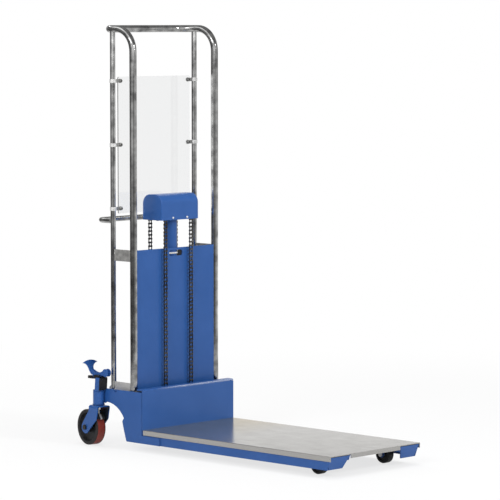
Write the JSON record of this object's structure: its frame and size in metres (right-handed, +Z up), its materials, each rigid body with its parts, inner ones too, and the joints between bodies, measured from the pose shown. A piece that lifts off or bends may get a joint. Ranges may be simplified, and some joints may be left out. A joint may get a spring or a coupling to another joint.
{
  "type": "portable hydraulic lift",
  "caption": "Foot-pumped hydraulic lift with a tubular mast, roller-chain hoist, flat platform over straddle legs, clear guard, front rollers and braked swivel casters.",
  "frame": {"origin": "on the floor below the middle of the whole outline", "axes": "+Z up along the mast, -Y towards the front of the platform, +X to the right seen from the front"},
  "size_m": [0.652, 1.4264, 1.758],
  "materials": {
    "blue_paint": "gloss",
    "chromed_tube": "polished",
    "polished_rod": "polished",
    "zinc": "zinc plated",
    "chain_steel": "oiled",
    "deck_steel": "brushed",
    "guard_sheet": "clear",
    "pump_casting": "painted black",
    "black_polymer": "satin",
    "red_tread": "satin"
  },
  "bodies": {
    "base": {"handle_loop": "chromed_tube", "rear_tubes": "chromed_tube", "mast_gussets": "chromed_tube", "push_handle": "chromed_tube", "mast_plate": "blue_paint", "guard_panel": "guard_sheet", "guard_clamps": "zinc", "base_floor": "blue_paint", "base_shelf": "blue_paint", "left_side_plate": "blue_paint", "right_side_plate": "blue_paint", "left_leg": "blue_paint", "right_leg": "blue_paint", "caster_housings": "blue_paint", "brake_brackets": "blue_paint", "brake_blocks": "black_polymer", "brake_pins": "zinc", "roller_axles": "zinc", "cylinder_barrel": "blue_paint", "cylinder_gland": "blue_paint", "cylinder_clamp": "zinc", "chain_anchor_bracket": "blue_paint", "chain_anchor_eyes": "zinc", "back_chains": "chain_steel", "pump_block": "pump_casting", "oil_tank": "blue_paint", "pump_pins": "zinc", "hydraulic_pipe": "zinc"},
    "carriage": {"apron": "blue_paint", "platform_deck": "deck_steel", "platform_forks": "blue_paint", "carriage_cheeks": "blue_paint", "guide_shoes": "black_polymer", "chain_bar": "blue_paint", "carriage_anchors": "zinc", "front_chains": "chain_steel"},
    "ram": {"ram_rod": "polished_rod", "crosshead": "blue_paint", "sprocket_shaft": "zinc", "hood": "blue_paint"},
    "sprockets": {"left_sprocket": "chain_steel", "right_sprocket": "chain_steel", "chain_wraps": "chain_steel"},
    "left_caster": {"left_caster_fork": "blue_paint", "left_caster_axle": "zinc"},
    "right_caster": {"right_caster_fork": "blue_paint", "right_caster_axle": "zinc"},
    "left_wheel": {"left_wheel_core": "black_polymer", "left_wheel_tread": "red_tread"},
    "right_wheel": {"right_wheel_core": "black_polymer", "right_wheel_tread": "red_tread"},
    "left_brake_rod": {"left_brake_plunger": "zinc"},
    "right_brake_rod": {"right_brake_plunger": "zinc"},
    "left_brake_lever": {"left_brake_pedal": "blue_paint"},
    "right_brake_lever": {"right_brake_pedal": "blue_paint"},
    "left_roller": {"left_front_roller": "black_polymer"},
    "right_roller": {"right_front_roller": "black_polymer"},
    "pump_piston": {"pump_plunger": "polished_rod"},
    "pump_lever": {"pump_pedal": "blue_paint"},
    "release_lever": {"release_pedal": "blue_paint"}
  },
  "joints": [
    {"name": "platform_lift", "type": "slide", "parent": "base", "child": "carriage", "axis": [0, 0, 1], "range_m": [0, 1.143], "deforming": ["front_chains"]},
    {"name": "ram_lift", "type": "slide", "parent": "base", "child": "ram", "axis": [0, 0, 1], "range_m": [0, 0.5715], "deforming": ["back_chains"]},
    {"name": "sprocket_spin", "type": "hinge", "parent": "ram", "child": "sprockets", "pos_m": [0, 0.44079, 0.99113], "axis": [-1, 0, 0], "range_deg": [0, 720]},
    {"name": "pump_pedal_push", "type": "hinge", "parent": "base", "child": "pump_lever", "pos_m": [0.045, 0.50079, 0.32], "axis": [-1, 0, 0], "range_deg": [0, 26], "stiffness_Nm_per_rad": 2.5, "springref_deg": -20.05},
    {"name": "pump_plunger_stroke", "type": "slide", "parent": "base", "child": "pump_piston", "axis": [0, 0, -1], "range_m": [0, 0.0206]},
    {"name": "release_pedal_push", "type": "hinge", "parent": "base", "child": "release_lever", "pos_m": [0.1, 0.52879, 0.286], "axis": [-1, 0, 0], "range_deg": [0, 12], "stiffness_Nm_per_rad": 0.8, "springref_deg": -17.19},
    {"name": "left_caster_swivel", "type": "hinge", "parent": "base", "child": "left_caster", "pos_m": [-0.285, 0.58279, 0.2], "axis": [0, 0, 1], "continuous": true},
    {"name": "left_wheel_spin", "type": "hinge", "parent": "left_caster", "child": "left_wheel", "pos_m": [-0.27702, 0.6362, 0.075], "axis": [0.989, -0.1478, 0], "continuous": true},
    {"name": "left_brake_pedal_push", "type": "hinge", "parent": "base", "child": "left_brake_lever", "pos_m": [-0.285, 0.55079, 0.308], "axis": [-1, 0, 0], "range_deg": [0, 10], "stiffness_Nm_per_rad": 1.2, "springref_deg": -20.05},
    {"name": "left_brake_rod_stroke", "type": "slide", "parent": "left_caster", "child": "left_brake_rod", "axis": [0, 0, -1], "range_m": [0, 0.0056]},
    {"name": "left_roller_spin", "type": "hinge", "parent": "base", "child": "left_roller", "pos_m": [-0.194, -0.58921, 0.037], "axis": [1, 0, 0], "continuous": true},
    {"name": "right_caster_swivel", "type": "hinge", "parent": "base", "child": "right_caster", "pos_m": [0.285, 0.58279, 0.2], "axis": [0, 0, 1], "continuous": true},
    {"name": "right_wheel_spin", "type": "hinge", "parent": "right_caster", "child": "right_wheel", "pos_m": [0.27702, 0.6362, 0.075], "axis": [0.989, 0.1478, 0], "continuous": true},
    {"name": "right_brake_pedal_push", "type": "hinge", "parent": "base", "child": "right_brake_lever", "pos_m": [0.285, 0.55079, 0.308], "axis": [-1, 0, 0], "range_deg": [0, 10], "stiffness_Nm_per_rad": 1.2, "springref_deg": -20.05},
    {"name": "right_brake_rod_stroke", "type": "slide", "parent": "right_caster", "child": "right_brake_rod", "axis": [0, 0, -1], "range_m": [0, 0.0056]},
    {"name": "right_roller_spin", "type": "hinge", "parent": "base", "child": "right_roller", "pos_m": [0.194, -0.58921, 0.037], "axis": [1, 0, 0], "continuous": true}
  ],
  "couplings": [
    {"joint": "ram_lift", "follows": "platform_lift", "ratio": 0.5},
    {"joint": "sprocket_spin", "follows": "platform_lift", "rad_per_m": 10.994},
    {"joint": "pump_plunger_stroke", "follows": "pump_pedal_push", "m_per_rad": 0.0452},
    {"joint": "left_brake_rod_stroke", "follows": "left_brake_pedal_push", "m_per_rad": 0.032},
    {"joint": "right_brake_rod_stroke", "follows": "right_brake_pedal_push", "m_per_rad": 0.032}
  ]
}
